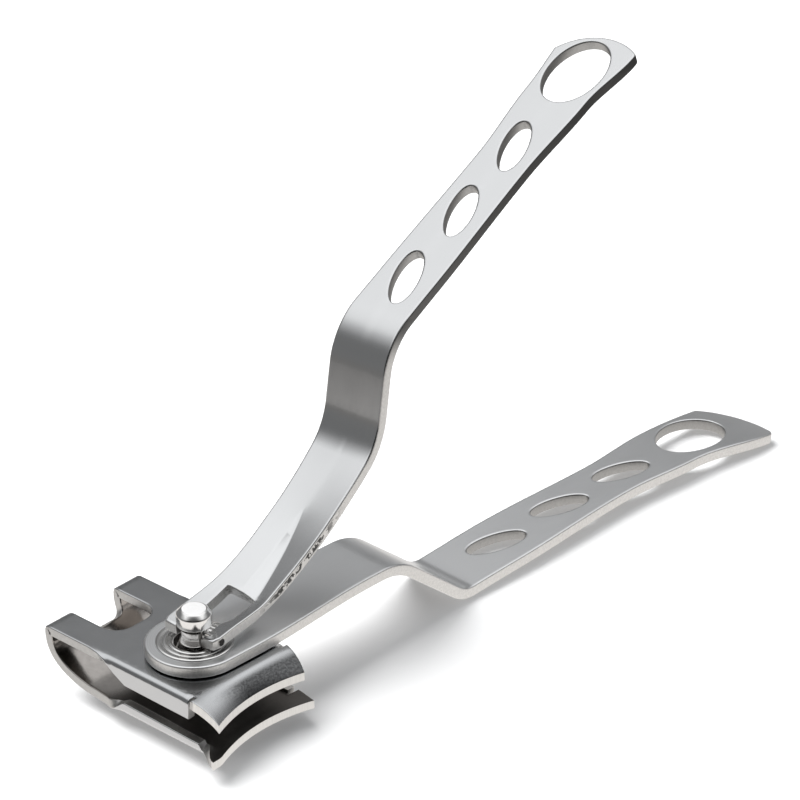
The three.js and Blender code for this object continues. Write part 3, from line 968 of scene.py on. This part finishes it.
def mirror_floor():
    """What the steel sees below it: pale near the object, dark further off."""
    material = bpy.data.materials.new("floor_in_mirror")
    material.use_nodes = True
    tree = material.node_tree
    tree.nodes.clear()
    place = tree.nodes.new("ShaderNodeNewGeometry")
    away = tree.nodes.new("ShaderNodeVectorMath")
    away.operation = "DISTANCE"
    away.inputs[1].default_value = (0.035, 0.0, 0.0)
    reach = tree.nodes.new("ShaderNodeMapRange")
    reach.interpolation_type = "SMOOTHSTEP"
    for key, value in (("From Min", 0.07), ("From Max", 0.15), ("To Min", 1.0), ("To Max", 0.19)):
        reach.inputs[key].default_value = value
    glow = tree.nodes.new("ShaderNodeEmission")
    glow.inputs["Color"].default_value = (1.0, 0.975, 0.95, 1)
    out = tree.nodes.new("ShaderNodeOutputMaterial")
    tree.links.new(place.outputs["Position"], away.inputs[0])
    tree.links.new(away.outputs["Value"], reach.inputs["Value"])
    tree.links.new(reach.outputs["Result"], glow.inputs["Strength"])
    tree.links.new(glow.outputs[0], out.inputs["Surface"])
    floor = plate("floor_in_mirror", 1.5, -0.0002)
    floor.data.materials.append(material)
    for ray in ("camera", "diffuse", "shadow", "transmission", "volume_scatter"):
        setattr(floor, "visible_" + ray, False)


def studio_world():
    """Even light for the floor, and for the steel a soft room: dark at the horizon, bright overhead."""
    world = bpy.data.worlds.new("studio")
    bpy.context.scene.world = world
    world.use_nodes = True
    tree = world.node_tree
    tree.nodes.clear()

    def node(kind, **settings):
        made = tree.nodes.new(kind)
        for key, value in settings.items():
            setattr(made, key, value)
        return made
    way = node("ShaderNodeTexCoord").outputs["Generated"]
    axes = node("ShaderNodeSeparateXYZ")
    tree.links.new(way, axes.inputs[0])
    ramp = node("ShaderNodeValToRGB")
    ramp.color_ramp.interpolation = "EASE"
    stops = [(0.0, 0.2), (0.3, 0.19), (0.4, 0.18), (0.5, 0.2), (0.62, 0.5), (0.76, 1.08), (1.0, 1.25)]
    elements = ramp.color_ramp.elements
    for i, (at, level) in enumerate(stops):
        element = elements[i] if i < 2 else elements.new(at)
        element.position = at
        element.color = (level * 0.98, level * 0.99, level, 1)
    tree.links.new(axes.outputs[2], ramp.inputs[0])
    facing = node("ShaderNodeVectorMath", operation="DOT_PRODUCT")
    facing.inputs[1].default_value = (-0.62, -0.62, 0.48)
    tree.links.new(way, facing.inputs[0])
    dark = node("ShaderNodeMapRange", interpolation_type="SMOOTHSTEP")
    for key, value in (("From Min", 0.5), ("From Max", 0.88), ("To Min", 1.0), ("To Max", 0.08)):
        dark.inputs[key].default_value = value
    tree.links.new(facing.outputs["Value"], dark.inputs["Value"])
    room = node("ShaderNodeBackground")
    tree.links.new(ramp.outputs[0], room.inputs[0])
    tree.links.new(dark.outputs["Result"], room.inputs[1])
    backdrop = node("ShaderNodeBackground")
    aside = node("ShaderNodeMapRange", interpolation_type="SMOOTHSTEP")
    low = node("ShaderNodeMapRange", interpolation_type="SMOOTHSTEP")
    for made, limits in ((aside, (0.3, 0.75, 0.0, 0.5)), (low, (0.0, 0.34, 1.0, 0.0))):
        for key, value in zip(("From Min", "From Max", "To Min", "To Max"), limits):
            made.inputs[key].default_value = value
    tree.links.new(axes.outputs[0], aside.inputs["Value"])
    tree.links.new(axes.outputs[2], low.inputs["Value"])
    share = node("ShaderNodeMath", operation="MULTIPLY")
    tree.links.new(aside.outputs["Result"], share.inputs[0])
    tree.links.new(low.outputs["Result"], share.inputs[1])
    tree.links.new(share.outputs[0], backdrop.inputs[1])
    both = node("ShaderNodeAddShader")
    tree.links.new(room.outputs[0], both.inputs[0])
    tree.links.new(backdrop.outputs[0], both.inputs[1])
    even = node("ShaderNodeBackground")
    even.inputs[0].default_value = (0.97, 0.985, 1.0, 1)
    even.inputs[1].default_value = 0.5
    path = node("ShaderNodeLightPath")
    mix = node("ShaderNodeMixShader")
    out = node("ShaderNodeOutputWorld")
    tree.links.new(path.outputs["Is Glossy Ray"], mix.inputs[0])
    tree.links.new(even.outputs[0], mix.inputs[1])
    tree.links.new(both.outputs[0], mix.inputs[2])
    tree.links.new(mix.outputs[0], out.inputs[0])


def soft_light(name, place, target, size, watts):
    """A round lamp that the steel doesn't mirror."""
    data = bpy.data.lights.new(name, "AREA")
    data.shape = "DISK"
    data.size = size
    data.energy = watts
    light = bpy.data.objects.new(name, data)
    bpy.context.scene.collection.objects.link(light)
    light.location = place
    light.rotation_euler = (Vector(target) - Vector(place)).to_track_quat("-Z", "Y").to_euler()
    light.visible_glossy = False


def camera():
    azimuth, elevation, roll = math.radians(-44.98), math.radians(28.64), math.radians(-0.43)
    back = Vector((math.sin(azimuth) * math.cos(elevation), -math.cos(azimuth) * math.cos(elevation),
                   math.sin(elevation)))
    right = (-back).cross(Vector((0, 0, 1))).normalized()
    up = right.cross(-back)
    side = math.cos(roll) * right + math.sin(roll) * up
    top = -math.sin(roll) * right + math.cos(roll) * up
    data = bpy.data.cameras.new("camera")
    data.lens = 167.9
    data.sensor_width = 36
    data.clip_start = 0.01
    made = bpy.data.objects.new("camera", data)
    bpy.context.scene.collection.objects.link(made)
    turn = Matrix((side, top, back)).transposed().to_4x4()
    made.matrix_world = Matrix.Translation(Vector((0.03628, 0, 0.03096)) + back * 0.476) @ turn
    bpy.context.scene.camera = made


pale_floor()
mirror_floor()
studio_world()
soft_light("key", (-0.12, 0.36, 0.7), (0.03, 0, 0.01), 0.72, 9.6)
camera()
bpy.context.scene.view_settings.view_transform = "Standard"
